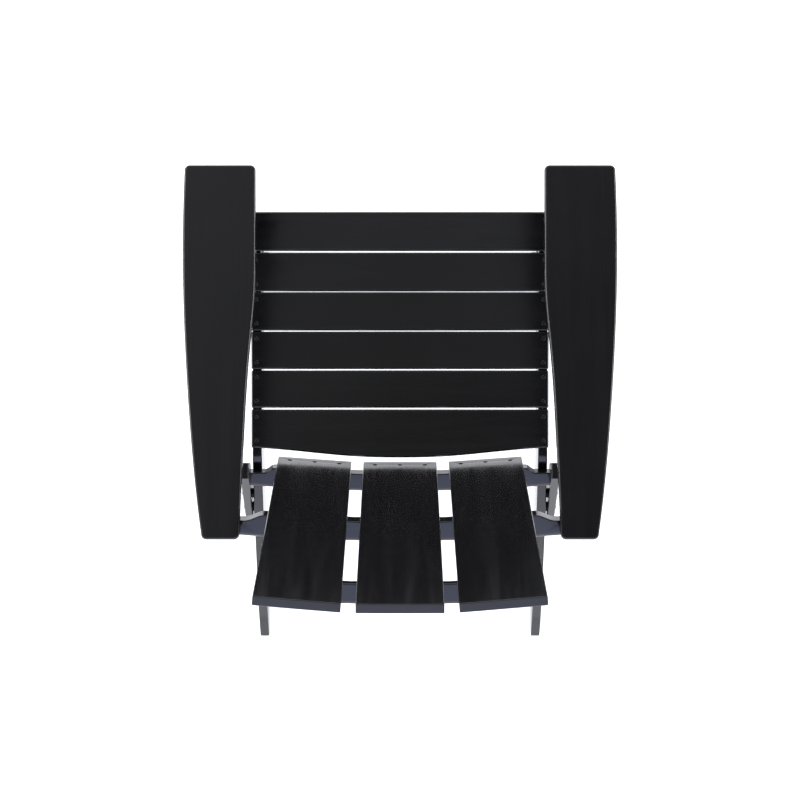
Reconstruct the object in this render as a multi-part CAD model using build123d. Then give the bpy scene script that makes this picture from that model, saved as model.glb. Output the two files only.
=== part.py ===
from build123d import *
import math
import os

# Adirondack chair, millimetres and degrees. +Z is up and the sitter faces -Y. Left and right are as seen from
# the front, so right is +X.
# The origin is on the floor, in the middle of the chair's outer box.

# Whole chair
DEPTH = 847.0
FRONT_Y = -DEPTH / 2
REAR_Y = DEPTH / 2

# Seat
SEAT_LEVEL = 259.0
SEAT_HALF = 268.5
SEAT_HALF_AT_LEGS = 267.0
SLATS_AT_LEGS = 2
SLAT_THICK = 16.0
SLAT_EDGE = 3.0
REAR_SLAT_FRONT_Y = -12.0
# Sloping slats from the rear forwards: gap behind, width and tilt
SLOPING_SLATS = ((2.8, 67.8, 0.0), (1.9, 67.9, 5.0), (1.6, 69.4, 7.0), (1.3, 69.9, 9.0), (2.8, 70.3, 11.0))
REAR_SLAT_EDGE = ((0.0, 75.0), (91.0, 72.3), (181.0, 63.8), (SEAT_HALF, 57.1))
SEAT_SCREW_SPREAD = 21.2

# Stringers, which are also the rear legs
STRINGER_OUT = 267.5
STRINGER_THICK = 17.0
STRINGER_IN = STRINGER_OUT - STRINGER_THICK
STRINGER_MID = (STRINGER_IN + STRINGER_OUT) / 2
STRINGER_FRONT_Y = -343.0
STRINGER_FRONT_LOW = 198.0
STRINGER_TOP_END = (66.0, SEAT_LEVEL - SLAT_THICK)
STRINGER_TOP = ((130.0, 216.5), (200.0, 180.0), (269.0, 136.0), (340.0, 87.5), (385.0, 51.5))
STRINGER_UNDER = (
    (290.0, 17.5),
    (221.5, 66.0),
    (157.0, 108.0),
    (93.0, 141.0),
    (45.0, 158.0),
    (-60.0, 165.0),
    (-200.0, 176.0),
)
STRINGER_BENDS = ((1, -0.3), (1, -1))
STRINGER_EDGE = 2.0
HEEL_RADIUS = 9.0
HEEL_ANGLE = 45.0
SOLE_FRONT_Y = 314.0

# Front legs, apron and arms
LEG_THICK = 17.0
LEG_OUT = STRINGER_OUT + LEG_THICK
LEG_WIDTH = 93.0
LEG_FRONT_Y = -374.0
LEG_MID_Y = LEG_FRONT_Y + LEG_WIDTH / 2
ARM_UNDER = 525.0
ARM_THICK = 17.0
ARM_LENGTH = 629.0
ARM_REAR_Y = FRONT_Y + ARM_LENGTH
ARM_OUTER = ((361.5, FRONT_Y), (364.0, -197.0), (356.0, -29.0), (341.5, 139.0), (333.0, ARM_REAR_Y))
ARM_INNER = ((242.5, -250.0), (252.7, -113.0), (263.5, 55.0), (270.3, ARM_REAR_Y))
ARM_INNER_RUNS = ((-0.04, -1), (0, -1))
ARM_CORNER = 9.0
ARM_EDGE = 4.0
BOARD_EDGE = 2.5
APRON_THICK = 17.0
APRON_LOW = 200.0
CLEAT = 22.0
BRACKET_THICK = 17.0
BRACKET_REACH = 59.0
BRACKET_DROP = 125.0
BRACKET_LIP = 10.0
BRACKET_TOE = 13.5
BRACKET_HOLLOW = (0.42, 0.43)

# Back
RECLINE = 14.9
BACK_FOOT = (0.0, 83.2, 237.0)
BACK_SLAT_WIDTH = 133.0
BACK_SLAT_GAP = 22.5
BACK_SLAT_THICK = 15.0
BACK_SLAT_LENGTH = 747.0
BACK_SLAT_EDGE = 1.5
BACK_TOP_RADIUS = 3600.0
BACK_TURN = 4.25
BACK_PIVOT = (BACK_SLAT_WIDTH + BACK_SLAT_GAP) / 2
RAIL_EDGE = 2.0
RAIL_ROUND = 6.5
LOWER_RAIL = (0.0, 27.0)
MIDDLE_RAIL = (276.5, 304.0)
UPPER_RAIL = (600.0, 614.5)
LOWER_RAIL_DEPTH = 33.5
MIDDLE_RAIL_DEPTH = 36.0
UPPER_RAIL_DEPTH = 35.5
MIDDLE_RAIL_HALF = 320.0
UPPER_RAIL_HALF = 213.0
RAIL_BOW_RADIUS = 3500.0
SHOULDER_START = 226.0
LOWER_SHOULDER_END = (246.0, 12.8)
MIDDLE_SHOULDER_END = (264.0, 13.6)
ARM_NOTCH_HALF = 266.5

# Side plates that tie the lower back rail to the stringers
PLATE_IN = 271.2
PLATE_THICK = 15.0
PLATE_OUT = PLATE_IN + PLATE_THICK
PLATE_WIDTH = 51.0
PLATE_SLOPE = 60.5
PLATE_TOP_REAR = (112.0, 290.0)
PLATE_FRONT_Y = 84.0
PLATE_TOP_FRONT_Z = 286.0
PLATE_EDGE = 2.5
PLATE_BOLT_RUNS = (105.0, 160.0)

# Countersunk wood screws
HEAD_R = 3.3
SHANK_R = 1.8
HEAD_DEEP = 2.2
HEAD_SUNK = 0.5
SLAT_HEAD_SUNK = 3.0
SLAT_MOUTH_R = 4.0
RAIL_HEAD_SUNK = 0.8
HEAD_CLEAR = 0.3
SLOT_LONG = 3.6
SLOT_WIDE = 0.9
SLOT_DEEP = 1.2
MOUTH = 40.0
SEAT_SCREW = 34.0
SLAT_SCREW = 34.0
BACK_SLAT_SCREW_SPREAD = 44.5
BACK_SLAT_SCREW_RISE = 20.0
RAIL_SCREW_SPREAD = 40.0
RAIL_SCREW_BITE = 10.0
PLATE_SCREW = 42.0
PLATE_SCREW_DEPTHS = (18.0, 30.0)
APRON_SCREW = 34.0
APRON_SCREW_HEIGHTS = (215.0, 255.0)
ARM_SCREW = 34.0
ARM_SCREW_SPREAD = 30.0
ARM_RAIL_SCREWS = ((286.0, 178.0, 503.0), (306.0, 178.0, 503.0))
CLEAT_SCREW = 32.0
CLEAT_SCREW_SPREAD = 11.0
BRACKET_SCREW = 29.0
BRACKET_SCREW_HEIGHTS = (440.0, 475.0)

# Carriage bolts, nuts and washers
BOLT_R = 4.0
BOLT_HEAD_R = 9.0
BOLT_HEAD_H = 4.4
DOME_CLEAR = 1.0
WASHER_R = 9.0
WASHER_T = 1.6
NUT_FLATS = 13.0
NUT_H = 6.5
BOLT_TAIL = 3.0
BOLT_STOP = 1.5
LEG_BOLT_PLACES = ((-308.0, 215.0), (-308.0, 255.0))

SIDES = (("left", -1), ("right", 1))
BACK = Plane(
    origin=BACK_FOOT,
    x_dir=(1, 0, 0),
    z_dir=(0, math.sin(math.radians(RECLINE)), math.cos(math.radians(RECLINE))),
)


def save(shape, node):
    export_step(shape, f"parts/{node}.step")


def on_side(shape, side):
    """The right-hand shape itself, or its mirror image for the left."""
    return shape if side > 0 else mirror(shape, about=Plane.YZ)


def side_board(face, inner, thick):
    """A board cut to a (y, z) outline, whose inner face stands at x = inner."""
    return extrude(Plane.YZ.offset(inner) * face, amount=thick)


def facing(point, direction):
    """The place of a fastener whose head faces along direction at point."""
    return Plane(origin=point, z_dir=direction).location


# Fasteners, head upwards with its face at z = 0


def screw(length):
    head = Pos(0, 0, -HEAD_DEEP / 2) * Cone(SHANK_R, HEAD_R, HEAD_DEEP)
    shank_long = length - HEAD_DEEP
    shank = Pos(0, 0, -HEAD_DEEP - shank_long / 2) * Cylinder(SHANK_R, shank_long)
    slot = Pos(0, 0, -SLOT_DEEP / 2) * Box(SLOT_LONG, SLOT_WIDE, SLOT_DEEP)
    cross = slot + Rot(0, 0, 90) * slot
    return (head + shank) - cross


def screw_hole(length, mouth_r=HEAD_R + HEAD_CLEAR):
    """The space a screw fills, with its clear mouth above the head."""
    head = Pos(0, 0, -HEAD_DEEP / 2) * Cone(SHANK_R, HEAD_R, HEAD_DEEP)
    shank_long = length - HEAD_DEEP
    shank = Pos(0, 0, -HEAD_DEEP - shank_long / 2) * Cylinder(SHANK_R, shank_long)
    mouth = Pos(0, 0, MOUTH / 2) * Cylinder(mouth_r, MOUTH)
    return head + shank + mouth


def carriage_bolt(length):
    """A domed bolt, its shank length long under the dome."""
    ball_r = (BOLT_HEAD_R**2 + BOLT_HEAD_H**2) / (2 * BOLT_HEAD_H)
    ball = Pos(0, 0, BOLT_HEAD_H - ball_r) * Sphere(ball_r)
    dome = ball & Pos(0, 0, BOLT_HEAD_H / 2) * Cylinder(BOLT_HEAD_R + DOME_CLEAR, BOLT_HEAD_H)
    return dome + Pos(0, 0, -length / 2) * Cylinder(BOLT_R, length)


def washer():
    """A flat washer lying just under z = 0."""
    ring = Cylinder(WASHER_R, WASHER_T) - Cylinder(BOLT_R, WASHER_T)
    return Pos(0, 0, -WASHER_T / 2) * ring


def nut():
    """A hexagon nut lying just under z = 0."""
    face = RegularPolygon(NUT_FLATS / 2, 6, major_radius=False) - Circle(BOLT_R)
    return Pos(0, 0, -NUT_H) * extrude(face, amount=NUT_H)


# Places of the slats: y and z of the rear top edge, tilt and width


def sloping_slat_places():
    places = []
    y, z, last = REAR_SLAT_FRONT_Y, SEAT_LEVEL, 0.0
    for gap, width, tilt in SLOPING_SLATS:
        middle = math.radians((last + tilt) / 2)
        y -= gap * math.cos(middle)
        z += gap * math.sin(middle)
        places.append((y, z, tilt, width))
        y -= width * math.cos(math.radians(tilt))
        z += width * math.sin(math.radians(tilt))
        last = tilt
    return places


def slat_frame(place):
    """A frame on a slat's top face, its origin at the rear top edge."""
    y, z, tilt, _ = place
    t = math.radians(tilt)
    return Plane(origin=(0, y, z), x_dir=(1, 0, 0), z_dir=(0, math.sin(t), math.cos(t))).location


def slat_undersides(places):
    """The underside of each sloping slat as its rear and front (y, z), from the rear forwards."""
    lines = []
    for y, z, tilt, width in places:
        t = math.radians(tilt)
        low = (y - SLAT_THICK * math.sin(t), z - SLAT_THICK * math.cos(t))
        lines.append((low, (low[0] - width * math.cos(t), low[1] + width * math.sin(t))))
    return lines


def seat_corners(lines):
    """The (y, z) points where the undersides of slats of different tilt meet, from the rear forwards."""
    corners = []
    for (a, b), (c, d) in zip(lines, lines[1:]):
        run, next_run = (b[0] - a[0], b[1] - a[1]), (d[0] - c[0], d[1] - c[1])
        turn = run[0] * next_run[1] - run[1] * next_run[0]
        if abs(turn) > 1.0:
            share = ((c[0] - a[0]) * next_run[1] - (c[1] - a[1]) * next_run[0]) / turn
            corners.append((a[0] + share * run[0], a[1] + share * run[1]))
    return corners


def underside_at(lines, y):
    """Height of the front slat's underside at y."""
    (rear_y, rear_z), (front_y, front_z) = lines[-1]
    return rear_z + (y - rear_y) * (front_z - rear_z) / (front_y - rear_y)


def seat_screw_places(places):
    """Two screws at each end of each slat."""
    frames = [(slat_frame(place), -place[3] / 2) for place in places]
    rear = Pos(0, REAR_SLAT_FRONT_Y, SEAT_LEVEL)
    frames.append((rear, REAR_SLAT_EDGE[-1][1] / 2 - REAR_SLAT_FRONT_Y / 2))
    spots = []
    for frame, middle in frames:
        row = []
        for x in (-STRINGER_MID, STRINGER_MID):
            for dy in (-SEAT_SCREW_SPREAD, SEAT_SCREW_SPREAD):
                row.append(frame * Pos(x, middle + dy, -HEAD_SUNK))
        spots.append(row)
    return spots


# Boards of the seat


def sloping_slat(place, half, holes):
    width = place[3]
    board = Pos(0, -width / 2, -SLAT_THICK / 2) * Box(2 * half, width, SLAT_THICK)
    board = slat_frame(place) * fillet(board.edges(), SLAT_EDGE)
    return board - holes


def rear_slat(holes):
    """The level slat in front of the back, with a bowed rear edge."""
    half = list(REAR_SLAT_EDGE)
    bow = [(-x, y) for x, y in reversed(half[1:])] + half
    outline = Spline(*bow)
    outline += Line(bow[-1], (SEAT_HALF, REAR_SLAT_FRONT_Y))
    outline += Line((SEAT_HALF, REAR_SLAT_FRONT_Y), (-SEAT_HALF, REAR_SLAT_FRONT_Y))
    outline += Line((-SEAT_HALF, REAR_SLAT_FRONT_Y), bow[0])
    board = extrude(make_face(outline), amount=SLAT_THICK)
    board = Pos(0, 0, SEAT_LEVEL - SLAT_THICK) * fillet(board.edges(), SLAT_EDGE)
    return board - holes


def stringer(lines, holes):
    """Sabre-shaped side board: it carries the seat and curves down to the floor as the rear leg."""
    turn = math.radians(HEEL_ANGLE)
    heel_y = REAR_Y - HEEL_RADIUS
    heel_top = (heel_y + HEEL_RADIUS * math.sin(turn), HEEL_RADIUS + HEEL_RADIUS * math.cos(turn))
    front_top = (STRINGER_FRONT_Y, underside_at(lines, STRINGER_FRONT_Y))
    outline = Polyline(front_top, *reversed(seat_corners(lines)), STRINGER_TOP_END)
    outline += Spline(
        STRINGER_TOP_END,
        *STRINGER_TOP,
        heel_top,
        tangents=STRINGER_BENDS,
    )
    outline += ThreePointArc(heel_top, (REAR_Y, HEEL_RADIUS), (heel_y, 0))
    outline += Line((heel_y, 0), (SOLE_FRONT_Y, 0))
    outline += Spline((SOLE_FRONT_Y, 0), *STRINGER_UNDER, (STRINGER_FRONT_Y, STRINGER_FRONT_LOW))
    outline += Line((STRINGER_FRONT_Y, STRINGER_FRONT_LOW), front_top)
    board = side_board(make_face(outline), STRINGER_IN, STRINGER_THICK)
    long_edges = board.edges().filter_by(Axis.X, reverse=True)
    return fillet(long_edges, STRINGER_EDGE) - holes


def front_apron(lines, holes):
    """Cross board under the front slat, on the front ends of the stringers."""
    front = STRINGER_FRONT_Y - APRON_THICK
    outline = Polyline(
        (front, APRON_LOW),
        (STRINGER_FRONT_Y, APRON_LOW),
        (STRINGER_FRONT_Y, underside_at(lines, STRINGER_FRONT_Y)),
        (front, underside_at(lines, front)),
        close=True,
    )
    board = side_board(make_face(outline), -STRINGER_OUT, 2 * STRINGER_OUT)
    return fillet(board.edges(), BOARD_EDGE) - holes


# Legs and arms


def front_leg(holes):
    middle = Pos((STRINGER_OUT + LEG_OUT) / 2, LEG_MID_Y, ARM_UNDER / 2)
    board = Box(LEG_THICK, LEG_WIDTH, ARM_UNDER)
    return middle * fillet(board.edges(), BOARD_EDGE) - holes


def arm(holes):
    """Armrest: broad in front, its inner and outer edges sweeping together to the rear."""
    front_inner = (ARM_INNER[0][0], FRONT_Y)
    outline = Spline(*ARM_OUTER)
    outline += Line(ARM_OUTER[-1], ARM_INNER[-1])
    outline += Spline(*reversed(ARM_INNER), tangents=ARM_INNER_RUNS)
    outline += Line(ARM_INNER[0], front_inner)
    outline += Line(front_inner, ARM_OUTER[0])
    board = extrude(make_face(outline), amount=ARM_THICK)
    corners = board.edges().filter_by(Axis.Z)
    ends = [e for e in corners if abs(e.center().Y - ARM_INNER[0][1]) > ARM_CORNER]
    board = fillet(ends, ARM_CORNER)
    rims = board.edges().filter_by(Axis.Z, reverse=True)
    return Pos(0, 0, ARM_UNDER) * fillet(rims, ARM_EDGE) - holes


def arm_bracket(holes):
    """Curved corbel outside the leg, under the arm's overhang."""
    low = ARM_UNDER - BRACKET_DROP
    tip = LEG_OUT + BRACKET_REACH
    toe = LEG_OUT + BRACKET_TOE
    outline = Polyline(
        (toe, low),
        (LEG_OUT, low),
        (LEG_OUT, ARM_UNDER),
        (tip, ARM_UNDER),
        (tip, ARM_UNDER - BRACKET_LIP),
    )
    hollow = (LEG_OUT + BRACKET_REACH * BRACKET_HOLLOW[0], ARM_UNDER - BRACKET_DROP * BRACKET_HOLLOW[1])
    outline += ThreePointArc((tip, ARM_UNDER - BRACKET_LIP), hollow, (toe, low))
    rear = Plane.XZ.offset(-(LEG_MID_Y + BRACKET_THICK / 2))
    board = extrude(rear * make_face(outline), amount=BRACKET_THICK)
    return fillet(board.edges().filter_by(Axis.Y, reverse=True), STRINGER_EDGE) - holes


def arm_cleat(holes):
    """Square batten inside the leg, which takes the arm's screws."""
    middle = Pos(STRINGER_OUT - CLEAT / 2, LEG_MID_Y, ARM_UNDER - CLEAT / 2)
    batten = Box(CLEAT, LEG_WIDTH, CLEAT)
    return middle * fillet(batten.edges(), STRINGER_EDGE) - holes


# Back


def back_slat_frames():
    """A frame for each back slat, in the middle of the foot of its rear face, x across and z up the slat."""
    reach = BACK_SLAT_GAP / 2 + BACK_SLAT_WIDTH / 2
    foot = BACK.location
    centre = foot * Pos(0, BACK_SLAT_THICK, 0)
    right = foot * Pos(BACK_PIVOT, BACK_SLAT_THICK, 0) * Rot(0, 0, -BACK_TURN) * Pos(reach, 0, 0)
    left = foot * Pos(-BACK_PIVOT, BACK_SLAT_THICK, 0) * Rot(0, 0, BACK_TURN) * Pos(-reach, 0, 0)
    return {"left": left, "centre": centre, "right": right}


def top_at(x):
    """Length of the back at x, under its shallow top arch."""
    return BACK_SLAT_LENGTH - x**2 / (2 * BACK_TOP_RADIUS)


def back_slat(frame, offset, holes):
    half = BACK_SLAT_WIDTH / 2
    low_left, low_right = (-half, 0), (half, 0)
    top_right = (half, top_at(offset + half))
    top_left = (-half, top_at(offset - half))
    outline = Polyline(top_left, low_left, low_right, top_right)
    outline += ThreePointArc(top_right, (0, top_at(offset)), top_left)
    board = Rot(90, 0, 0) * extrude(make_face(outline), amount=BACK_SLAT_THICK)
    return frame * fillet(board.edges(), BACK_SLAT_EDGE) - holes


def flat_front(x):
    """Depth of the rails' front face at x, on the flat that backs an outer slat."""
    return BACK_SLAT_THICK - (x - BACK_PIVOT) * math.tan(math.radians(BACK_TURN))


def bowed_rear(x, depth):
    """Depth of the rails' bowed rear face at x."""
    return BACK_SLAT_THICK + depth - x**2 / (2 * RAIL_BOW_RADIUS)


def rail(half, depth, low, high, shoulder_end=None):
    """Back rail: three flats in front for the slats, a bow behind, and ends set back where it is shouldered."""
    lean = math.radians(BACK_TURN)
    middle, turn = (0, BACK_SLAT_THICK), (BACK_PIVOT, BACK_SLAT_THICK)
    front = Line(middle, turn)
    end_front = (half, shoulder_end[1] if shoulder_end else flat_front(half))
    if shoulder_end:
        shoulder = (SHOULDER_START, flat_front(SHOULDER_START))
        front += Line(turn, shoulder)
        front += Spline(shoulder, shoulder_end, tangents=((math.cos(lean), -math.sin(lean)), (1, 0)))
        front += Line(shoulder_end, end_front)
    else:
        front += Line(turn, end_front)
    end_rear = (half, bowed_rear(half, depth))
    front += Line(end_front, end_rear)
    outline = front + mirror(front, about=Plane.YZ)
    outline += ThreePointArc(end_rear, (0, BACK_SLAT_THICK + depth), (-half, end_rear[1]))
    board = Pos(0, 0, low) * extrude(make_face(outline), amount=high - low)
    bow = board.edges().filter_by(GeomType.CIRCLE)
    board = fillet(bow, RAIL_ROUND)
    front_rims = [e for e in board.edges().filter_by(Axis.Z, reverse=True) if e.center().Y < flat_front(0)]
    return fillet(front_rims, RAIL_EDGE)


def lower_back_rail(holes):
    return BACK.location * rail(PLATE_IN, LOWER_RAIL_DEPTH, *LOWER_RAIL, LOWER_SHOULDER_END) - holes


def middle_back_rail(holes):
    """Rail under the arms: it is notched level at each end to carry them."""
    board = rail(MIDDLE_RAIL_HALF, MIDDLE_RAIL_DEPTH, *MIDDLE_RAIL, MIDDLE_SHOULDER_END)
    notch = Box(MIDDLE_RAIL_HALF, DEPTH, DEPTH, align=(Align.MIN, Align.CENTER, Align.MIN))
    notch = Pos(ARM_NOTCH_HALF, 0, ARM_UNDER) * notch
    return BACK.location * board - [notch, on_side(notch, -1)] - holes


def upper_back_rail(holes):
    return BACK.location * rail(UPPER_RAIL_HALF, UPPER_RAIL_DEPTH, *UPPER_RAIL) - holes


def plate_point(run):
    """(y, z) on the side plate's centreline, run down from the level of its rear top corner."""
    slope = math.radians(PLATE_SLOPE)
    along = (math.cos(slope), -math.sin(slope))
    inward = (-math.sin(slope) * PLATE_WIDTH / 2, -math.cos(slope) * PLATE_WIDTH / 2)
    return (
        PLATE_TOP_REAR[0] + inward[0] + run * along[0],
        PLATE_TOP_REAR[1] + inward[1] + run * along[1],
    )


def side_plate(holes):
    """Leaning bar outside the stringer, bolted to it, which holds one end of the lower back rail."""
    slope = math.radians(PLATE_SLOPE)
    along = (math.cos(slope), -math.sin(slope))
    across = (math.sin(slope) * PLATE_WIDTH / 2, math.cos(slope) * PLATE_WIDTH / 2)
    end = plate_point(PLATE_BOLT_RUNS[-1])
    rear_low = (end[0] + across[0], end[1] + across[1])
    front_low = (end[0] - across[0], end[1] - across[1])
    tip = (end[0] + along[0] * PLATE_WIDTH / 2, end[1] + along[1] * PLATE_WIDTH / 2)
    climb = (front_low[0] - PLATE_FRONT_Y) / along[0]
    knee = (PLATE_FRONT_Y, front_low[1] - climb * along[1])
    outline = Polyline(front_low, knee, (PLATE_FRONT_Y, PLATE_TOP_FRONT_Z), PLATE_TOP_REAR, rear_low)
    outline += ThreePointArc(rear_low, tip, front_low)
    board = side_board(make_face(outline), PLATE_IN, PLATE_THICK)
    return fillet(board.edges().filter_by(Axis.X, reverse=True), PLATE_EDGE) - holes


# Fastener places on the right-hand side, and across the back


def slat_screw_places(frames):
    """Front screws through the foot of each back slat into the lower rail."""
    spots = []
    for frame in frames.values():
        for x in (-BACK_SLAT_SCREW_SPREAD, 0, BACK_SLAT_SCREW_SPREAD):
            face = Pos(x, SLAT_HEAD_SUNK - BACK_SLAT_THICK, BACK_SLAT_SCREW_RISE)
            spots.append(frame * face * Rot(90, 0, 0))
    return spots


def rail_screw_places(frames, rail_span, depth):
    """Rear screws through a rail into each back slat."""
    spots = []
    for name, frame in frames.items():
        reach = 0 if name == "centre" else BACK_PIVOT + BACK_SLAT_GAP / 2 + BACK_SLAT_WIDTH / 2
        for x in (-RAIL_SCREW_SPREAD, RAIL_SCREW_SPREAD):
            side = -1 if name == "left" else 1
            deep = bowed_rear(reach + side * x, depth) - flat_front(reach + side * x)
            if name == "centre":
                deep = bowed_rear(x, depth) - BACK_SLAT_THICK
            head = Pos(x, deep - RAIL_HEAD_SUNK, sum(rail_span) / 2) * Rot(-90, 0, 0)
            spots.append((frame * head, deep + RAIL_SCREW_BITE))
    return spots


def side_screw_places():
    """The other screws on the right: name of their node, place and length."""
    stringer_screws = []
    for z in APRON_SCREW_HEIGHTS:
        head_y = STRINGER_FRONT_Y - APRON_THICK + HEAD_SUNK
        stringer_screws.append((facing((STRINGER_MID, head_y, z), (0, -1, 0)), APRON_SCREW))
    plate_screws = []
    for depth in PLATE_SCREW_DEPTHS:
        place = BACK.location * Pos(PLATE_OUT - HEAD_SUNK, depth, sum(LOWER_RAIL) / 2)
        plate_screws.append((facing(place.position, (1, 0, 0)), PLATE_SCREW))
    arm_screws = []
    low = ARM_UNDER - CLEAT + HEAD_SUNK
    for y in (LEG_MID_Y - ARM_SCREW_SPREAD, LEG_MID_Y + ARM_SCREW_SPREAD):
        arm_screws.append((facing((STRINGER_OUT - CLEAT / 2, y, low), (0, 0, -1)), ARM_SCREW))
    for head in ARM_RAIL_SCREWS:
        arm_screws.append((facing(head, (0, 0, -1)), ARM_SCREW))
    cleat_screws = []
    for y in (LEG_MID_Y - CLEAT_SCREW_SPREAD, LEG_MID_Y + CLEAT_SCREW_SPREAD):
        head = (STRINGER_OUT - CLEAT + HEAD_SUNK, y, ARM_UNDER - CLEAT / 2)
        cleat_screws.append((facing(head, (-1, 0, 0)), CLEAT_SCREW))
    bracket_screws = []
    for z in BRACKET_SCREW_HEIGHTS:
        head = (STRINGER_OUT + HEAD_SUNK, LEG_MID_Y, z)
        bracket_screws.append((facing(head, (-1, 0, 0)), BRACKET_SCREW))
    return {
        "apron_screws": stringer_screws,
        "plate_screws": plate_screws,
        "arm_screws": arm_screws,
        "cleat_screws": cleat_screws,
        "bracket_screws": bracket_screws,
    }


def bolt_sets():
    """Bolts on the right: place of the head, and length under it. The plate bolts stop in the stringer."""
    legs = [facing((LEG_OUT, y, z), (1, 0, 0)) for y, z in LEG_BOLT_PLACES]
    plates = []
    for run in PLATE_BOLT_RUNS:
        y, z = plate_point(run)
        plates.append(facing((PLATE_OUT, y, z), (1, 0, 0)))
    return {
        "leg": (legs, LEG_OUT - STRINGER_IN + WASHER_T + NUT_H + BOLT_TAIL),
        "plate": (plates, PLATE_OUT - STRINGER_IN - BOLT_STOP),
    }


def both_sides(shapes):
    return Compound([on_side(shape, side) for _, side in SIDES for shape in shapes])


def bolt_hole(length):
    return Pos(0, 0, -length) * extrude(Circle(BOLT_R), amount=length + BOLT_HEAD_H)


def main():
    os.makedirs("parts", exist_ok=True)
    places = sloping_slat_places()
    lines = slat_undersides(places)
    seat_spots = seat_screw_places(places)
    frames = back_slat_frames()
    slat_spots = slat_screw_places(frames)
    middle_spots = rail_screw_places(frames, MIDDLE_RAIL, MIDDLE_RAIL_DEPTH)
    upper_spots = rail_screw_places(frames, UPPER_RAIL, UPPER_RAIL_DEPTH)
    side_spots = side_screw_places()
    bolts = bolt_sets()

    seat_holes = [[spot * screw_hole(SEAT_SCREW) for spot in row] for row in seat_spots]
    slat_holes = [spot * screw_hole(SLAT_SCREW, SLAT_MOUTH_R) for spot in slat_spots]
    middle_holes = [spot * screw_hole(length) for spot, length in middle_spots]
    upper_holes = [spot * screw_hole(length) for spot, length in upper_spots]
    side_holes = {
        node: [spot * screw_hole(length) for spot, length in spots]
        for node, spots in side_spots.items()
    }
    bolt_holes = {
        name: [spot * bolt_hole(length) for spot in spots] for name, (spots, length) in bolts.items()
    }

    # Seat slats, 1 in front and 6 in front of the back
    count = len(places)
    for behind, (place, holes) in enumerate(zip(places, seat_holes)):
        number = count - behind
        half = SEAT_HALF_AT_LEGS if number <= SLATS_AT_LEGS else SEAT_HALF
        save(sloping_slat(place, half, holes), f"seat_slat_{number}")
    save(rear_slat(seat_holes[-1]), f"seat_slat_{count + 1}")

    # Back slats: three front screws each, then two from each rail behind
    offset = BACK_PIVOT + BACK_SLAT_GAP / 2 + BACK_SLAT_WIDTH / 2
    for number, (name, frame) in enumerate(frames.items()):
        holes = slat_holes[3 * number : 3 * number + 3]
        for row in (middle_holes, upper_holes):
            holes = holes + row[2 * number : 2 * number + 2]
        across = {"left": -offset, "centre": 0.0, "right": offset}[name]
        save(back_slat(frame, across, holes), f"back_slat_{name}")

    plate_ends = side_holes["plate_screws"] + [on_side(h, -1) for h in side_holes["plate_screws"]]
    arm_seats = side_holes["arm_screws"][2:] + [on_side(h, -1) for h in side_holes["arm_screws"][2:]]
    apron_ends = side_holes["apron_screws"] + [on_side(h, -1) for h in side_holes["apron_screws"]]
    save(lower_back_rail(slat_holes + plate_ends), "lower_back_rail")
    save(middle_back_rail(middle_holes + arm_seats), "middle_back_rail")
    save(upper_back_rail(upper_holes), "upper_back_rail")
    save(front_apron(lines, apron_ends + seat_holes[count - 1]), "front_apron")

    right_seat_holes = [hole for row in seat_holes for hole in row[2:]]
    stringer_holes = right_seat_holes + side_holes["apron_screws"] + bolt_holes["leg"] + bolt_holes["plate"]
    boards = {
        "stringer": stringer(lines, stringer_holes),
        "front_leg": front_leg(bolt_holes["leg"] + side_holes["cleat_screws"] + side_holes["bracket_screws"]),
        "arm": arm(side_holes["arm_screws"]),
        "arm_cleat": arm_cleat(side_holes["arm_screws"][:2] + side_holes["cleat_screws"]),
        "arm_bracket": arm_bracket(side_holes["bracket_screws"]),
        "side_plate": side_plate(bolt_holes["plate"] + side_holes["plate_screws"]),
    }
    for name, side in SIDES:
        for board, shape in boards.items():
            save(on_side(shape, side), f"{board}_{name}")

    # Fasteners, one node for each kind
    save(Compound([spot * screw(SEAT_SCREW) for row in seat_spots for spot in row]), "seat_screws")
    save(Compound([spot * screw(SLAT_SCREW) for spot in slat_spots]), "back_slat_screws")
    save(Compound([spot * screw(length) for spot, length in middle_spots + upper_spots]), "rail_screws")
    for node, spots in side_spots.items():
        save(both_sides([spot * screw(length) for spot, length in spots]), node)
    for name, (spots, length) in bolts.items():
        save(both_sides([spot * carriage_bolt(length) for spot in spots]), f"{name}_bolts")
    inner = [spot * Pos(0, 0, STRINGER_IN - LEG_OUT) for spot in bolts["leg"][0]]
    save(both_sides([face * washer() for face in inner]), "leg_washers")
    save(both_sides([face * Pos(0, 0, -WASHER_T) * nut() for face in inner]), "leg_nuts")
    gap = PLATE_IN - STRINGER_OUT
    spacer = Pos(0, 0, -PLATE_THICK - gap / 2) * (Cylinder(WASHER_R, gap) - Cylinder(BOLT_R, gap))
    save(both_sides([spot * spacer for spot in bolts["plate"][0]]), "plate_spacers")


main()
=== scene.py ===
"""An adirondack chair in satin black paint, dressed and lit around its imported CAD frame."""

import math

import bmesh
import bpy
import numpy as np
from bpy.props import FloatProperty, PointerProperty, StringProperty
from mathutils import Matrix, Vector


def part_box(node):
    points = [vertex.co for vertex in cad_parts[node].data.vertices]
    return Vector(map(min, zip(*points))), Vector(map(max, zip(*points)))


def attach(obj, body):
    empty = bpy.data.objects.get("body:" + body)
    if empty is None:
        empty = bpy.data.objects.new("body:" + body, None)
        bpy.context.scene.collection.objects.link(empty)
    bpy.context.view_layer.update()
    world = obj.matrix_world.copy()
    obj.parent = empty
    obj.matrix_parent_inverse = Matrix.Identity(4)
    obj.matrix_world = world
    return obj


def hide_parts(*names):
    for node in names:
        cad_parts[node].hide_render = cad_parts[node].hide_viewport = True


bl_info = {
    "name": "Adirondack Chair",
    "version": (1, 0, 0),
    "blender": (4, 5, 0),
    "location": "View3D > Sidebar > Chair",
    "description": "Finishes the boards and fasteners of an adirondack chair and sets its stage",
    "category": "Object",
}

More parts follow.
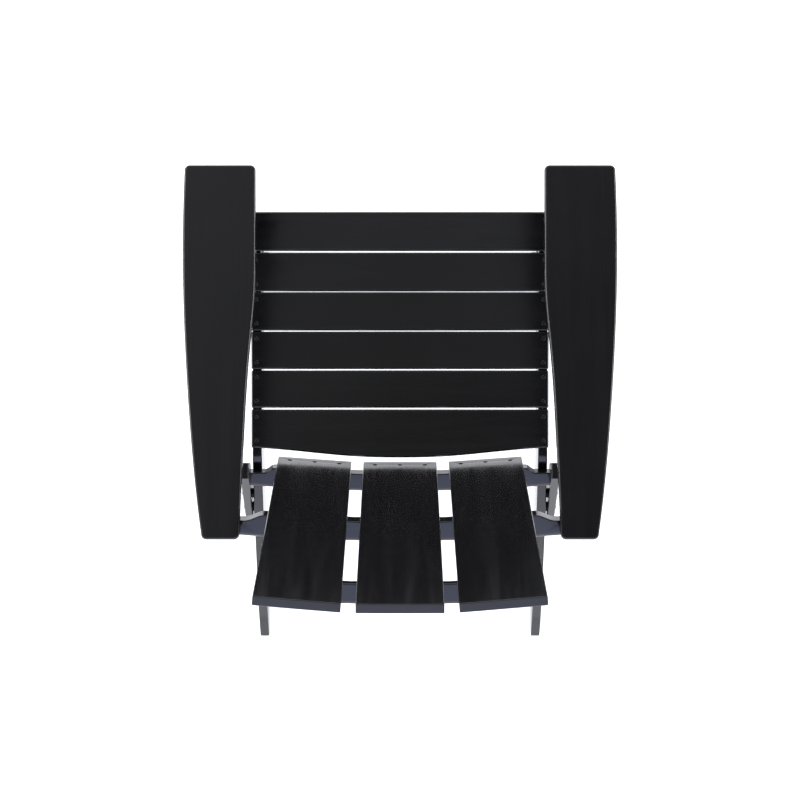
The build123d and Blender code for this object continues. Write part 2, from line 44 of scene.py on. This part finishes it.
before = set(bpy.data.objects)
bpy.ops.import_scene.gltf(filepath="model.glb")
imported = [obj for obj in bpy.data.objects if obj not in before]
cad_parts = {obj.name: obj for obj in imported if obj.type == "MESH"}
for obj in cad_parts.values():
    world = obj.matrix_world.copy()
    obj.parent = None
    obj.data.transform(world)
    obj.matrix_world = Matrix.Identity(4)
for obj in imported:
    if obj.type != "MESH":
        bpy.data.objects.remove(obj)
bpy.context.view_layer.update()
BODY = "root"
MM = 0.001

# The boards, by the way their grain runs
SEAT_SLATS = [f"seat_slat_{number}" for number in range(1, 7)]
CROSS_BOARDS = SEAT_SLATS + ["lower_back_rail", "middle_back_rail", "upper_back_rail", "front_apron"]
LONG_BOARDS = ["arm_left", "arm_right", "arm_cleat_left", "arm_cleat_right"]
TALL_BOARDS = ["front_leg_left", "front_leg_right", "arm_bracket_left", "arm_bracket_right"]
BACK_BOARDS = ["back_slat_left", "back_slat_centre", "back_slat_right"]
SABRE_BOARDS = ["stringer_left", "stringer_right"]
PLATE_BOARDS = ["side_plate_left", "side_plate_right"]

SCREW_NODES = [
    "seat_screws",
    "back_slat_screws",
    "rail_screws",
    "plate_screws",
    "apron_screws",
    "arm_screws",
    "cleat_screws",
    "bracket_screws",
]

# Grain of the sabre boards: 22 degrees down towards the rear
SABRE_GRAIN = (0, 0.9285, -0.3714)

# How close two points lie to count as one, and the angles past which an edge stays sharp
WELD = 0.005 * MM
TURNED_WELD = 0.002 * MM
CUT_WELD = 0.001 * MM
SAME_LEVEL = 0.01 * MM
TURNED_SHARP = 0.6
BOARD_SHARP = math.radians(26)

# Steps round a turned screw, and round a bolt or a washer
SCREW_STEPS = 24
BOLT_STEPS = 40

# A wood screw's head, by its radius: flat top, rim, depth, and the cross recess sunk in it
HEAD_FLAT = 0.94
HEAD_RIM = 0.14
HEAD_DEPTH = 0.66
RECESS_LONG = 1.15
RECESS_WIDE = 0.26
RECESS_DEEP = 0.42
RECESS_TAPER = 0.72
RECESS_SLACK = 0.02 * MM

# Where in one turn of a thread its root and its crest come
ROOT_AT = 0.1
CREST_AT = 0.5

# A wood screw's shank: plain share of its length, and by its radius the thread's depth and the point
NECK_SHARE = 0.35
SCREW_THREAD_DEPTH = 0.28
THREAD_STOP = 2.5
POINT_LONG = 2.4
POINT_RADIUS = 0.7

# A carriage bolt's dome and tail, a nut's turned corners and the eased rims of a ring
DOME_STEPS = 9
BOLT_THREAD_LONG = 14.0 * MM
BOLT_THREAD_PITCH = 1.25 * MM
BOLT_THREAD_DEPTH = 0.5 * MM
BOLT_THREAD_STOP = 1.0 * MM
BOLT_TIP_EASE = 0.9 * MM
NUT_CHAMFER = 0.7 * MM
NUT_FACE_SHARE = 0.12
LEVEL_FACE = 0.99
RING_EASE = 0.25 * MM

# Noise periods per metre in the paint: along a board and both ways across it, then the same all ways
PORES_PER_METRE = (18.0, 420.0, 420.0)
FIGURE_PER_METRE = (2.5, 46.0, 46.0)
PEEL_PER_METRE = 400.0
CLOUD_PER_METRE = 9.0

# How far the growth figure moves the paint's roughness, down and up
FIGURE_SMOOTHER = 0.04
FIGURE_ROUGHER = 0.05

# How squarely a face looks along its board (1 is squarely) where end grain begins and where it is full
END_GRAIN_STARTS = 0.85
END_GRAIN_FULL = 0.97
END_GRAIN_ROUGHER = 0.16

# The floor's reach each way, and the softboxes, which stand alike on both sides
FLOOR_REACH = 8.0
SOFTBOX_OUT = 2.9
SOFTBOX_FORWARD = 0.6
SOFTBOX_HEIGHT = 2.2
SOFTBOX_SIZE = (2.0, 1.6)
SOFTBOX_AIM = Vector((0, 0, 0.3))

# Sockets of a Mix node that mixes colours
MIX_A = 6
MIX_B = 7
MIX_RESULT = 2


# Small tools


def linear(code):
    """An sRGB hex colour as the linear colour that a shader takes."""
    channels = [int(code[i : i + 2], 16) / 255 for i in (1, 3, 5)]
    return [c / 12.92 if c <= 0.04045 else ((c + 0.055) / 1.055) ** 2.4 for c in channels] + [1.0]


def add_node(tree, kind, settings=None, links=None):
    """A node with its settings; links maps an input's name or number to another node's output."""
    node = tree.nodes.new(kind)
    for name, value in (settings or {}).items():
        if isinstance(name, str) and hasattr(node, name):
            setattr(node, name, value)
        else:
            node.inputs[name].default_value = value
    for name, output in (links or {}).items():
        tree.links.new(output, node.inputs[name])
    return node


def new_material(name):
    """An empty material and its node tree."""
    material = bpy.data.materials.new(name)
    material.use_nodes = True
    material.node_tree.nodes.clear()
    return material, material.node_tree


def ramp(tree, factor, stops):
    """A colour ramp from (place, colour) stops."""
    node = add_node(tree, "ShaderNodeValToRGB", links={"Fac": factor})
    elements = node.color_ramp.elements
    for _ in range(len(stops) - len(elements)):
        elements.new(0.5)
    for element, (place, colour) in zip(elements, stops):
        element.position = place
        element.color = colour
    return node


def grey(value):
    """A neutral linear colour."""
    return (value, value, value, 1.0)


# Materials


def satin_black_paint(name, grain):
    """Sprayed satin enamel over planed hardwood. The film is near black with a cool cast and a soft, even
    gloss; it follows the pores along the grain and the end grain drinks more of it, so both show faintly."""
    settings = bpy.context.scene.chair_finish
    material, tree = new_material(name)
    coords = add_node(tree, "ShaderNodeTexCoord")
    turn = Vector((1, 0, 0)).rotation_difference(Vector(grain)).inverted().to_euler()
    along = add_node(tree, "ShaderNodeMapping", {"Rotation": turn}, {"Vector": coords.outputs["Object"]})
    # Pores are about 0.4 mm wide and 20 mm long; drawn 1.2 mm wide here, so that they still show.
    pores_scale = add_node(
        tree, "ShaderNodeMapping", {"Scale": PORES_PER_METRE}, {"Vector": along.outputs["Vector"]}
    )
    pores = add_node(
        tree,
        "ShaderNodeTexNoise",
        {"Scale": 1.0, "Detail": 3.0, "Roughness": 0.6},
        {"Vector": pores_scale.outputs["Vector"]},
    )
    # Growth figure: bands about 20 mm apart that wander along the board.
    figure_scale = add_node(
        tree, "ShaderNodeMapping", {"Scale": FIGURE_PER_METRE}, {"Vector": along.outputs["Vector"]}
    )
    figure = add_node(
        tree,
        "ShaderNodeTexNoise",
        {"Scale": 1.0, "Detail": 4.0, "Roughness": 0.55, "Distortion": 0.6},
        {"Vector": figure_scale.outputs["Vector"]},
    )
    # Orange peel of the sprayed film, about 2.5 mm across.
    peel = add_node(
        tree,
        "ShaderNodeTexNoise",
        {"Scale": PEEL_PER_METRE, "Detail": 1.0, "Roughness": 0.4},
        {"Vector": coords.outputs["Object"]},
    )
    # Slow drift of the paint's tone, over a hand's width.
    cloud = add_node(
        tree,
        "ShaderNodeTexNoise",
        {"Scale": CLOUD_PER_METRE, "Detail": 2.0, "Roughness": 0.5},
        {"Vector": coords.outputs["Object"]},
    )
    # End grain: faces that look along the board.
    facing = add_node(
        tree,
        "ShaderNodeVectorMath",
        {"operation": "DOT_PRODUCT", 1: grain},
        {0: coords.outputs["Normal"]},
    )
    facing_size = add_node(tree, "ShaderNodeMath", {"operation": "ABSOLUTE"}, {0: facing.outputs["Value"]})
    ends = add_node(
        tree,
        "ShaderNodeMapRange",
        {"From Min": END_GRAIN_STARTS, "From Max": END_GRAIN_FULL, "To Min": 0.0, "To Max": 1.0},
        {"Value": facing_size.outputs[0]},
    )
    tones = ramp(
        tree,
        cloud.outputs["Fac"],
        [(0.30, linear(settings.paint_low)), (0.70, linear(settings.paint_high))],
    )
    dull = add_node(
        tree,
        "ShaderNodeMapRange",
        {
            "From Min": 0.3,
            "From Max": 0.7,
            "To Min": settings.paint_roughness - FIGURE_SMOOTHER,
            "To Max": settings.paint_roughness + FIGURE_ROUGHER,
        },
        {"Value": figure.outputs["Fac"]},
    )
    end_dull = add_node(
        tree,
        "ShaderNodeMath",
        {"operation": "MULTIPLY_ADD", 1: END_GRAIN_ROUGHER, "use_clamp": True},
        {0: ends.outputs["Result"], 2: dull.outputs["Result"]},
    )
    pore_pits = ramp(tree, pores.outputs["Fac"], [(0.36, grey(0.0)), (0.50, grey(1.0))])
    grain_bump = add_node(
        tree,
        "ShaderNodeBump",
        {"Strength": 0.22, "Distance": 0.12 * MM},
        {"Height": pore_pits.outputs["Color"]},
    )
    figure_bump = add_node(
        tree,
        "ShaderNodeBump",
        {"Strength": 0.12, "Distance": 0.20 * MM},
        {"Height": figure.outputs["Fac"], "Normal": grain_bump.outputs["Normal"]},
    )
    peel_bump = add_node(
        tree,
        "ShaderNodeBump",
        {"Strength": 0.10, "Distance": 0.10 * MM},
        {"Height": peel.outputs["Fac"], "Normal": figure_bump.outputs["Normal"]},
    )
    shader = add_node(
        tree,
        "ShaderNodeBsdfPrincipled",
        {"IOR": 1.5, "Specular IOR Level": settings.paint_gloss},
        {
            "Base Color": tones.outputs["Color"],
            "Roughness": end_dull.outputs[0],
            "Normal": peel_bump.outputs["Normal"],
        },
    )
    add_node(tree, "ShaderNodeOutputMaterial", links={"Surface": shader.outputs["BSDF"]})
    return material


def black_oxide_steel():
    """Black-coated steel screw or bolt: a thin dark skin, worn a little greyer where the driver turned."""
    material, tree = new_material("black_oxide_steel")
    coords = add_node(tree, "ShaderNodeTexCoord")
    wear = add_node(
        tree,
        "ShaderNodeTexNoise",
        {"Scale": 700.0, "Detail": 3.0, "Roughness": 0.65},
        {"Vector": coords.outputs["Object"]},
    )
    tones = ramp(tree, wear.outputs["Fac"], [(0.45, linear("#141416")), (0.75, linear("#3A3A3E"))])
    shader = add_node(
        tree,
        "ShaderNodeBsdfPrincipled",
        {"Roughness": 0.46, "Metallic": 0.6},
        {"Base Color": tones.outputs["Color"]},
    )
    add_node(tree, "ShaderNodeOutputMaterial", links={"Surface": shader.outputs["BSDF"]})
    return material


def pale_floor():
    """Seamless white studio floor, painted matt; it glows a little, as paper lit from all round does."""
    settings = bpy.context.scene.chair_stage
    material, tree = new_material("pale_floor")
    coords = add_node(tree, "ShaderNodeTexCoord")
    mottle = add_node(
        tree,
        "ShaderNodeTexNoise",
        {"Scale": 3.0, "Detail": 2.0, "Roughness": 0.5},
        {"Vector": coords.outputs["Object"]},
    )
    tones = ramp(tree, mottle.outputs["Fac"], [(0.3, linear("#F2F2F2")), (0.7, linear("#F6F6F6"))])
    shader = add_node(
        tree,
        "ShaderNodeBsdfPrincipled",
        {
            "Roughness": 0.9,
            "Specular IOR Level": 0.1,
            "Emission Color": (1.0, 1.0, 1.0, 1.0),
            "Emission Strength": settings.floor_glow,
        },
        {"Base Color": tones.outputs["Color"]},
    )
    add_node(tree, "ShaderNodeOutputMaterial", links={"Surface": shader.outputs["BSDF"]})
    return material


# Meshes


def merged_copy(node):
    """A bmesh of a CAD node's mesh with its loose triangles joined."""
    bm = bmesh.new()
    bm.from_mesh(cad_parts[node].data)
    bmesh.ops.remove_doubles(bm, verts=bm.verts[:], dist=WELD)
    return bm


def islands(bm):
    """The vertices of each separate solid in a bmesh."""
    left = set(bm.verts)
    groups = []
    while left:
        stack = [left.pop()]
        group = list(stack)
        while stack:
            for edge in stack.pop().link_edges:
                for vert in edge.verts:
                    if vert in left:
                        left.remove(vert)
                        group.append(vert)
                        stack.append(vert)
        groups.append(group)
    return groups


def fastener_places(node, flat=False):
    """For each solid of a fastener node: the middle of its head's face, the way the head looks, and its
    length. A flat solid, such as a washer, lies across its axis."""
    bm = merged_copy(node)
    places = []
    for group in islands(bm):
        points = np.array([v.co[:] for v in group])
        centre = (points.max(0) + points.min(0)) / 2 if flat else points.mean(0)
        _, axes = np.linalg.eigh(np.cov((points - centre).T))
        axis = axes[:, 0] if flat else axes[:, 2]
        runs = (points - centre) @ axis
        radii = np.linalg.norm(points - centre - np.outer(runs, axis), axis=1)
        middle = (runs.max() + runs.min()) / 2
        if not flat and radii[runs > middle].max() < radii[runs < middle].max():
            axis, runs = -axis, -runs
        top = centre + axis * runs.max()
        places.append((Vector(top), Vector(axis), float(runs.max() - runs.min())))
    bm.free()
    return sorted(places, key=lambda place: tuple(round(c, 4) for c in place[0]))


def stand(bm, place):
    """Moves a bmesh modelled with its head's face at the origin, looking along +Z, to a fastener's place."""
    top, axis, _ = place
    turn = Vector((0, 0, 1)).rotation_difference(axis).to_matrix().to_4x4()
    bmesh.ops.transform(bm, matrix=Matrix.Translation(top) @ turn, verts=bm.verts[:])


def finish_piece(bm, name, material, node, sharp_angle):
    """A piece from a bmesh, in place, shaded smooth up to an angle, standing for a CAD node."""
    mesh = bpy.data.meshes.new(name)
    bm.to_mesh(mesh)
    bm.free()
    mesh.shade_smooth()
    mesh.set_sharp_from_angle(angle=sharp_angle)
    mesh.materials.append(material)
    piece = bpy.data.objects.new(name, mesh)
    bpy.context.scene.collection.objects.link(piece)
    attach(piece, BODY)
    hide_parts(node)
    return piece


def lathe(profile, steps, closed=False):
    """A shape turned about Z from an (r, z) profile, which is closed or has both ends on the axis."""
    bm = bmesh.new()
    verts = [bm.verts.new((r, 0, z)) for r, z in profile]
    pairs = list(zip(verts, verts[1:]))
    if closed:
        pairs.append((verts[-1], verts[0]))
    edges = [bm.edges.new(pair) for pair in pairs]
    bmesh.ops.spin(
        bm,
        geom=verts + edges,
        cent=(0, 0, 0),
        axis=(0, 0, 1),
        dvec=(0, 0, 0),
        angle=math.tau,
        steps=steps,
        use_merge=True,
        use_duplicate=False,
    )
    bmesh.ops.remove_doubles(bm, verts=bm.verts[:], dist=TURNED_WELD)
    return bm


def thread_profile(radius, start, end, pitch, depth):
    """(r, z) points of thread crests and roots between two heights."""
    points = []
    turns = max(1, round(abs(end - start) / pitch))
    step = (end - start) / turns
    for turn in range(turns):
        low = start + turn * step
        points += [(radius - depth, low + ROOT_AT * step), (radius, low + CREST_AT * step)]
    return points


def top_faces(bm):
    """The faces that lie level with the origin, at the top of a turned head."""
    return [face for face in bm.faces if all(abs(v.co.z) < SAME_LEVEL for v in face.verts)]


def cut_cross(bm, length, width, depth):
    """Sinks a cross recess, tapering inwards, in the flat face at the top of a turned head."""
    for normal in ((1, 0, 0), (0, 1, 0)):
        for offset in (-length / 2, -width / 2, width / 2, length / 2):
            faces = top_faces(bm)
            edges = {e for f in faces for e in f.edges}
            verts = {v for f in faces for v in f.verts}
            bmesh.ops.bisect_plane(
                bm,
                geom=faces + list(edges) + list(verts),
                plane_co=Vector(normal) * offset,
                plane_no=normal,
                dist=CUT_WELD,
            )
    half_wide = width / 2 + RECESS_SLACK
    half_long = length / 2 + RECESS_SLACK
    floor = []
    for face in top_faces(bm):
        middle = face.calc_center_median()
        x, y = abs(middle.x), abs(middle.y)
        if (x < half_wide and y < half_long) or (y < half_wide and x < half_long):
            floor.append(face)
    made = bmesh.ops.extrude_face_region(bm, geom=floor)
    bmesh.ops.delete(bm, geom=floor, context="FACES_KEEP_BOUNDARY")
    sunk = [v for v in made["geom"] if isinstance(v, bmesh.types.BMVert)]
    bmesh.ops.translate(bm, vec=(0, 0, -depth), verts=sunk)
    bmesh.ops.scale(bm, vec=(RECESS_TAPER, RECESS_TAPER, 1), verts=sunk)


def wood_screw(place):
    """Countersunk screw with a cross recess, a plain neck and a cut thread to a point."""
    sizes = bpy.context.scene.chair_fasteners
    head, shank, length = sizes.screw_head, sizes.screw_shank, place[2]
    neck = -NECK_SHARE * length
    profile = [
        (0, 0),
        (HEAD_FLAT * head, 0),
        (head, -(1 - HEAD_FLAT) * head),
        (head, -HEAD_RIM * head),
        (shank, -HEAD_DEPTH * head),
        (shank, neck),
    ]
    thread_end = -length + THREAD_STOP * shank
    profile += thread_profile(shank, neck, thread_end, sizes.screw_pitch, SCREW_THREAD_DEPTH * shank)
    profile += [(POINT_RADIUS * shank, -length + POINT_LONG * shank), (0, -length)]
    bm = lathe(profile, SCREW_STEPS)
    bmesh.ops.dissolve_faces(bm, faces=top_faces(bm))
    cut_cross(bm, RECESS_LONG * head, RECESS_WIDE * head, RECESS_DEEP * head)
    return bm


def join(target, source):
    """Adds one bmesh to another."""
    mesh = bpy.data.meshes.new("joined")
    source.to_mesh(mesh)
    source.free()
    target.from_mesh(mesh)
    bpy.data.meshes.remove(mesh)


def dome_bolt(place):
    """Carriage bolt: shallow dome, plain shank and threaded tail."""
    sizes = bpy.context.scene.chair_fasteners
    radius, head, rise, length = sizes.bolt_radius, sizes.dome_radius, sizes.dome_rise, place[2]
    ball = (head**2 + rise**2) / (2 * rise)
    profile = []
    for step in range(DOME_STEPS + 1):
        r = head * step / DOME_STEPS
        profile.append((r, math.sqrt(ball**2 - r**2) - ball))
    tail = -length + BOLT_THREAD_LONG
    profile += [(head, -rise), (radius, -rise), (radius, tail)]
    profile += thread_profile(
        radius, tail, -length + BOLT_THREAD_STOP, BOLT_THREAD_PITCH, BOLT_THREAD_DEPTH
    )
    profile += [(radius - BOLT_TIP_EASE, -length), (0, -length)]
    return lathe(profile, BOLT_STEPS)


def hex_nut(place):
    """Hexagon nut, its corners turned down on both faces."""
    sizes = bpy.context.scene.chair_fasteners
    height = place[2]
    bm = bmesh.new()
    corner = sizes.nut_flats / math.sqrt(3)
    bmesh.ops.create_cone(bm, cap_ends=True, segments=6, radius1=corner, radius2=corner, depth=height)
    bmesh.ops.translate(bm, vec=(0, 0, -height / 2), verts=bm.verts[:])
    rims = [e for e in bm.edges if abs(e.verts[0].co.z - e.verts[1].co.z) < SAME_LEVEL]
    bmesh.ops.bevel(
        bm, geom=rims, affect="EDGES", offset=NUT_CHAMFER, segments=2, profile=0.5, material=-1
    )
    caps = [f for f in bm.faces if abs(f.normal.z) > LEVEL_FACE]
    bmesh.ops.inset_region(bm, faces=caps, thickness=corner * NUT_FACE_SHARE)
    return bm


def flat_ring(place):
    """Washer or spacer with eased rims."""
    sizes = bpy.context.scene.chair_fasteners
    outer, inner, height = sizes.dome_radius, sizes.bolt_radius, place[2]
    ease = min(RING_EASE, height / 5)
    profile = [
        (inner, -ease),
        (inner + ease, 0),
        (outer - ease, 0),
        (outer, -ease),
        (outer, ease - height),
        (outer - ease, -height),
        (inner + ease, -height),
        (inner, ease - height),
    ]
    return lathe(profile, BOLT_STEPS, closed=True)


def fastener_set(node, maker, material, flat=False):
    """Every screw, bolt, nut or ring of a node as one piece."""
    whole = bmesh.new()
    for place in fastener_places(node, flat):
        part = maker(place)
        stand(part, place)
        join(whole, part)
    bmesh.ops.recalc_face_normals(whole, faces=whole.faces[:])
    return finish_piece(whole, f"{node}_piece", material, node, TURNED_SHARP)


def board_piece(node, material):
    """A board as one welded, smoothly shaded piece."""
    piece = finish_piece(merged_copy(node), f"{node}_board", material, node, BOARD_SHARP)
    even = piece.modifiers.new("even_shading", "WEIGHTED_NORMAL")
    even.keep_sharp = True
    return piece


def fastener_steel():
    """The one steel that every fastener shares."""
    return bpy.data.materials.get("black_oxide_steel") or black_oxide_steel()


# Settings that a user would change


class ChairFinish(bpy.types.PropertyGroup):
    """Colours and gloss of the paint."""

    paint_low: StringProperty(
        name="Paint, dark", description="Darker tone of the black paint", default="#08080A"
    )
    paint_high: StringProperty(
        name="Paint, light", description="Lighter tone of the black paint", default="#0B0B0E"
    )
    paint_roughness: FloatProperty(
        name="Roughness", description="Mean roughness of the satin paint", default=0.17, min=0.1, max=0.8
    )
    paint_gloss: FloatProperty(
        name="Gloss", description="Strength of the paint's reflection", default=0.5, min=0.0, max=1.0
    )


class ChairFasteners(bpy.types.PropertyGroup):
    """Sizes of the screws and bolts."""

    screw_head: FloatProperty(
        name="Head", description="Radius of a screw's head", default=0.0033, unit="LENGTH", precision=5
    )
    screw_shank: FloatProperty(
        name="Shank", description="Radius of a screw's shank", default=0.0018, unit="LENGTH", precision=5
    )
    screw_pitch: FloatProperty(
        name="Pitch", description="Distance between crests", default=0.0016, unit="LENGTH", precision=5
    )
    bolt_radius: FloatProperty(
        name="Bolt", description="Radius of a bolt's shank", default=0.004, unit="LENGTH", precision=5
    )
    dome_radius: FloatProperty(
        name="Dome", description="Radius of a bolt's dome", default=0.009, unit="LENGTH", precision=5
    )
    dome_rise: FloatProperty(
        name="Rise", description="Height of a bolt's dome", default=0.0044, unit="LENGTH", precision=5
    )
    nut_flats: FloatProperty(
        name="Nut", description="Width across a nut's flats", default=0.013, unit="LENGTH", precision=5
    )


class ChairStage(bpy.types.PropertyGroup):
    """Floor, lights and camera."""

    camera_height: FloatProperty(
        name="Camera height", description="Height of the camera over the floor", default=4.25, unit="LENGTH"
    )
    camera_forward: FloatProperty(
        name="Camera forward", description="How far before the middle it is", default=0.029, unit="LENGTH"
    )
    lens: FloatProperty(name="Lens", description="Focal length in millimetres", default=99.45)
    floor_glow: FloatProperty(name="Floor glow", description="Light the floor gives off", default=0.66)
    side_light: FloatProperty(name="Side light", description="Watts of each side softbox", default=60.0)
    surround: FloatProperty(name="Surround", description="Strength of the walls and screen", default=2.8)


# Operators


class CHAIR_OT_paint_boards(bpy.types.Operator):
    """Welds the boards and paints them, grain by grain"""

    bl_idname = "chair.paint_boards"
    bl_label = "Paint the boards"

    def execute(self, context):
        low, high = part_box("back_slat_centre")
        lean = Vector((0, high.y - low.y, high.z - low.z)).normalized()
        plate_low, plate_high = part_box("side_plate_right")
        drop = Vector((0, plate_high.y - plate_low.y, plate_low.z - plate_high.z)).normalized()
        groups = [
            ("satin_black_paint_across", CROSS_BOARDS, (1, 0, 0)),
            ("satin_black_paint_long", LONG_BOARDS, (0, 1, 0)),
            ("satin_black_paint_tall", TALL_BOARDS, (0, 0, 1)),
            ("satin_black_paint_back", BACK_BOARDS, tuple(lean)),
            ("satin_black_paint_sabre", SABRE_BOARDS, SABRE_GRAIN),
            ("satin_black_paint_plate", PLATE_BOARDS, tuple(drop)),
        ]
        for name, boards, grain in groups:
            paint = satin_black_paint(name, grain)
            for node in boards:
                board_piece(node, paint)
        return {"FINISHED"}


class CHAIR_OT_screws(bpy.types.Operator):
    """Turns the wood screws of the seat, back, rails, plates, apron, arms and brackets"""

    bl_idname = "chair.screws"
    bl_label = "Make the screws"

    def execute(self, context):
        steel = fastener_steel()
        for node in SCREW_NODES:
            fastener_set(node, wood_screw, steel)
        return {"FINISHED"}


class CHAIR_OT_bolts(bpy.types.Operator):
    """Makes the carriage bolts with their nuts, washers and spacers"""

    bl_idname = "chair.bolts"
    bl_label = "Make the bolts"

    def execute(self, context):
        steel = fastener_steel()
        for node in ("leg_bolts", "plate_bolts"):
            fastener_set(node, dome_bolt, steel)
        fastener_set("leg_nuts", hex_nut, steel, flat=True)
        for node in ("leg_washers", "plate_spacers"):
            fastener_set(node, flat_ring, steel, flat=True)
        return {"FINISHED"}


class CHAIR_OT_stage(bpy.types.Operator):
    """Lays the floor and sets the studio light and the camera"""

    bl_idname = "chair.stage"
    bl_label = "Set the stage"

    def execute(self, context):
        self.lay_floor(context)
        self.hang_softboxes(context)
        self.hang_world(context)
        self.set_camera(context)
        context.scene.view_settings.view_transform = "Standard"
        return {"FINISHED"}

    def lay_floor(self, context):
        """One level sheet under the feet."""
        bm = bmesh.new()
        bmesh.ops.create_grid(bm, x_segments=1, y_segments=1, size=FLOOR_REACH)
        mesh = bpy.data.meshes.new("studio_floor")
        bm.to_mesh(mesh)
        bm.free()
        mesh.materials.append(pale_floor())
        floor = bpy.data.objects.new("studio_floor", mesh)
        context.scene.collection.objects.link(floor)

    def hang_softboxes(self, context):
        """Two softboxes, high on either side, aimed at the seat."""
        for name, side in (("right_softbox", 1), ("left_softbox", -1)):
            data = bpy.data.lights.new(name, "AREA")
            data.shape = "RECTANGLE"
            data.size, data.size_y = SOFTBOX_SIZE
            data.energy = context.scene.chair_stage.side_light
            lamp = bpy.data.objects.new(name, data)
            lamp.location = (side * SOFTBOX_OUT, -SOFTBOX_FORWARD, SOFTBOX_HEIGHT)
            aim = SOFTBOX_AIM - lamp.location
            lamp.rotation_euler = aim.to_track_quat("-Z", "Y").to_euler()
            context.scene.collection.objects.link(lamp)

    def set_camera(self, context):
        """The camera looks straight down, with the chair's front at the top of its view."""
        stage = context.scene.chair_stage
        data = bpy.data.cameras.new("camera")
        data.sensor_width = 36.0
        data.lens = stage.lens
        data.clip_start, data.clip_end = 0.05, 60.0
        camera = bpy.data.objects.new("camera", data)
        camera.location = (0.0, -stage.camera_forward, stage.camera_height)
        camera.rotation_euler = (0.0, 0.0, math.pi)
        context.scene.collection.objects.link(camera)
        context.scene.camera = camera

    def hang_world(self, context):
        """Studio surround: pale walls, a dark ceiling lit from one corner and a cool screen behind."""
        world = bpy.data.worlds.new("studio")
        world.use_nodes = True
        tree = world.node_tree
        tree.nodes.clear()
        coords = add_node(tree, "ShaderNodeTexCoord")
        parts = add_node(tree, "ShaderNodeSeparateXYZ", links={"Vector": coords.outputs["Generated"]})
        walls = ramp(
            tree,
            parts.outputs["Z"],
            [(0.0, grey(0.37)), (0.30, grey(0.33)), (0.75, grey(0.12)), (0.95, grey(0.05))],
        )
        # The big cool screen behind the chair, from the floor to about 60 degrees up
        screen = ramp(
            tree,
            parts.outputs["Y"],
            [
                (0.05, grey(0.0)),
                (0.14, grey(0.12)),
                (0.38, grey(0.17)),
                (0.52, linear("#BFC8F0")),
                (0.92, linear("#F8FAFF")),
            ],
        )
        both = add_node(
            tree,
            "ShaderNodeMix",
            {"data_type": "RGBA", "blend_type": "LIGHTEN", "Factor": 1.0},
            {MIX_A: walls.outputs["Color"], MIX_B: screen.outputs["Color"]},
        )
        # The ceiling is lit unevenly: brightest in front, on the sitter's left
        slant = add_node(
            tree,
            "ShaderNodeVectorMath",
            {"operation": "DOT_PRODUCT", 1: (0.7, -0.7, 0.0)},
            {0: coords.outputs["Generated"]},
        )
        ceiling = add_node(
            tree,
            "ShaderNodeMapRange",
            {"From Min": -0.05, "From Max": 0.15, "To Min": 0.0, "To Max": 0.15},
            {"Value": slant.outputs["Value"]},
        )
        whole = add_node(
            tree,
            "ShaderNodeMix",
            {"data_type": "RGBA", "blend_type": "ADD", "Factor": 1.0},
            {MIX_A: both.outputs[MIX_RESULT], MIX_B: ceiling.outputs["Result"]},
        )
        light = add_node(
            tree,
            "ShaderNodeBackground",
            {"Strength": context.scene.chair_stage.surround},
            {"Color": whole.outputs[MIX_RESULT]},
        )
        add_node(tree, "ShaderNodeOutputWorld", links={"Surface": light.outputs["Background"]})
        context.scene.world = world


class CHAIR_PT_panel(bpy.types.Panel):
    """The chair's steps and sizes in the sidebar"""

    bl_label = "Adirondack Chair"
    bl_idname = "CHAIR_PT_panel"
    bl_space_type = "VIEW_3D"
    bl_region_type = "UI"
    bl_category = "Chair"

    def draw(self, context):
        for operator in OPERATORS:
            self.layout.operator(operator.bl_idname)
        for group in (context.scene.chair_finish, context.scene.chair_fasteners, context.scene.chair_stage):
            for name in group.__annotations__:
                self.layout.prop(group, name)


OPERATORS = (
    CHAIR_OT_paint_boards,
    CHAIR_OT_screws,
    CHAIR_OT_bolts,
    CHAIR_OT_stage,
)
GROUPS = (ChairFinish, ChairFasteners, ChairStage)


def register():
    for group in GROUPS + OPERATORS + (CHAIR_PT_panel,):
        bpy.utils.register_class(group)
    bpy.types.Scene.chair_finish = PointerProperty(type=ChairFinish)
    bpy.types.Scene.chair_fasteners = PointerProperty(type=ChairFasteners)
    bpy.types.Scene.chair_stage = PointerProperty(type=ChairStage)


def unregister():
    del bpy.types.Scene.chair_stage
    del bpy.types.Scene.chair_fasteners
    del bpy.types.Scene.chair_finish
    for group in reversed(GROUPS + OPERATORS + (CHAIR_PT_panel,)):
        bpy.utils.unregister_class(group)


def main():
    register()
    bpy.ops.chair.paint_boards()
    bpy.ops.chair.screws()
    bpy.ops.chair.bolts()
    bpy.ops.chair.stage()


if __name__ == "__main__":
    main()
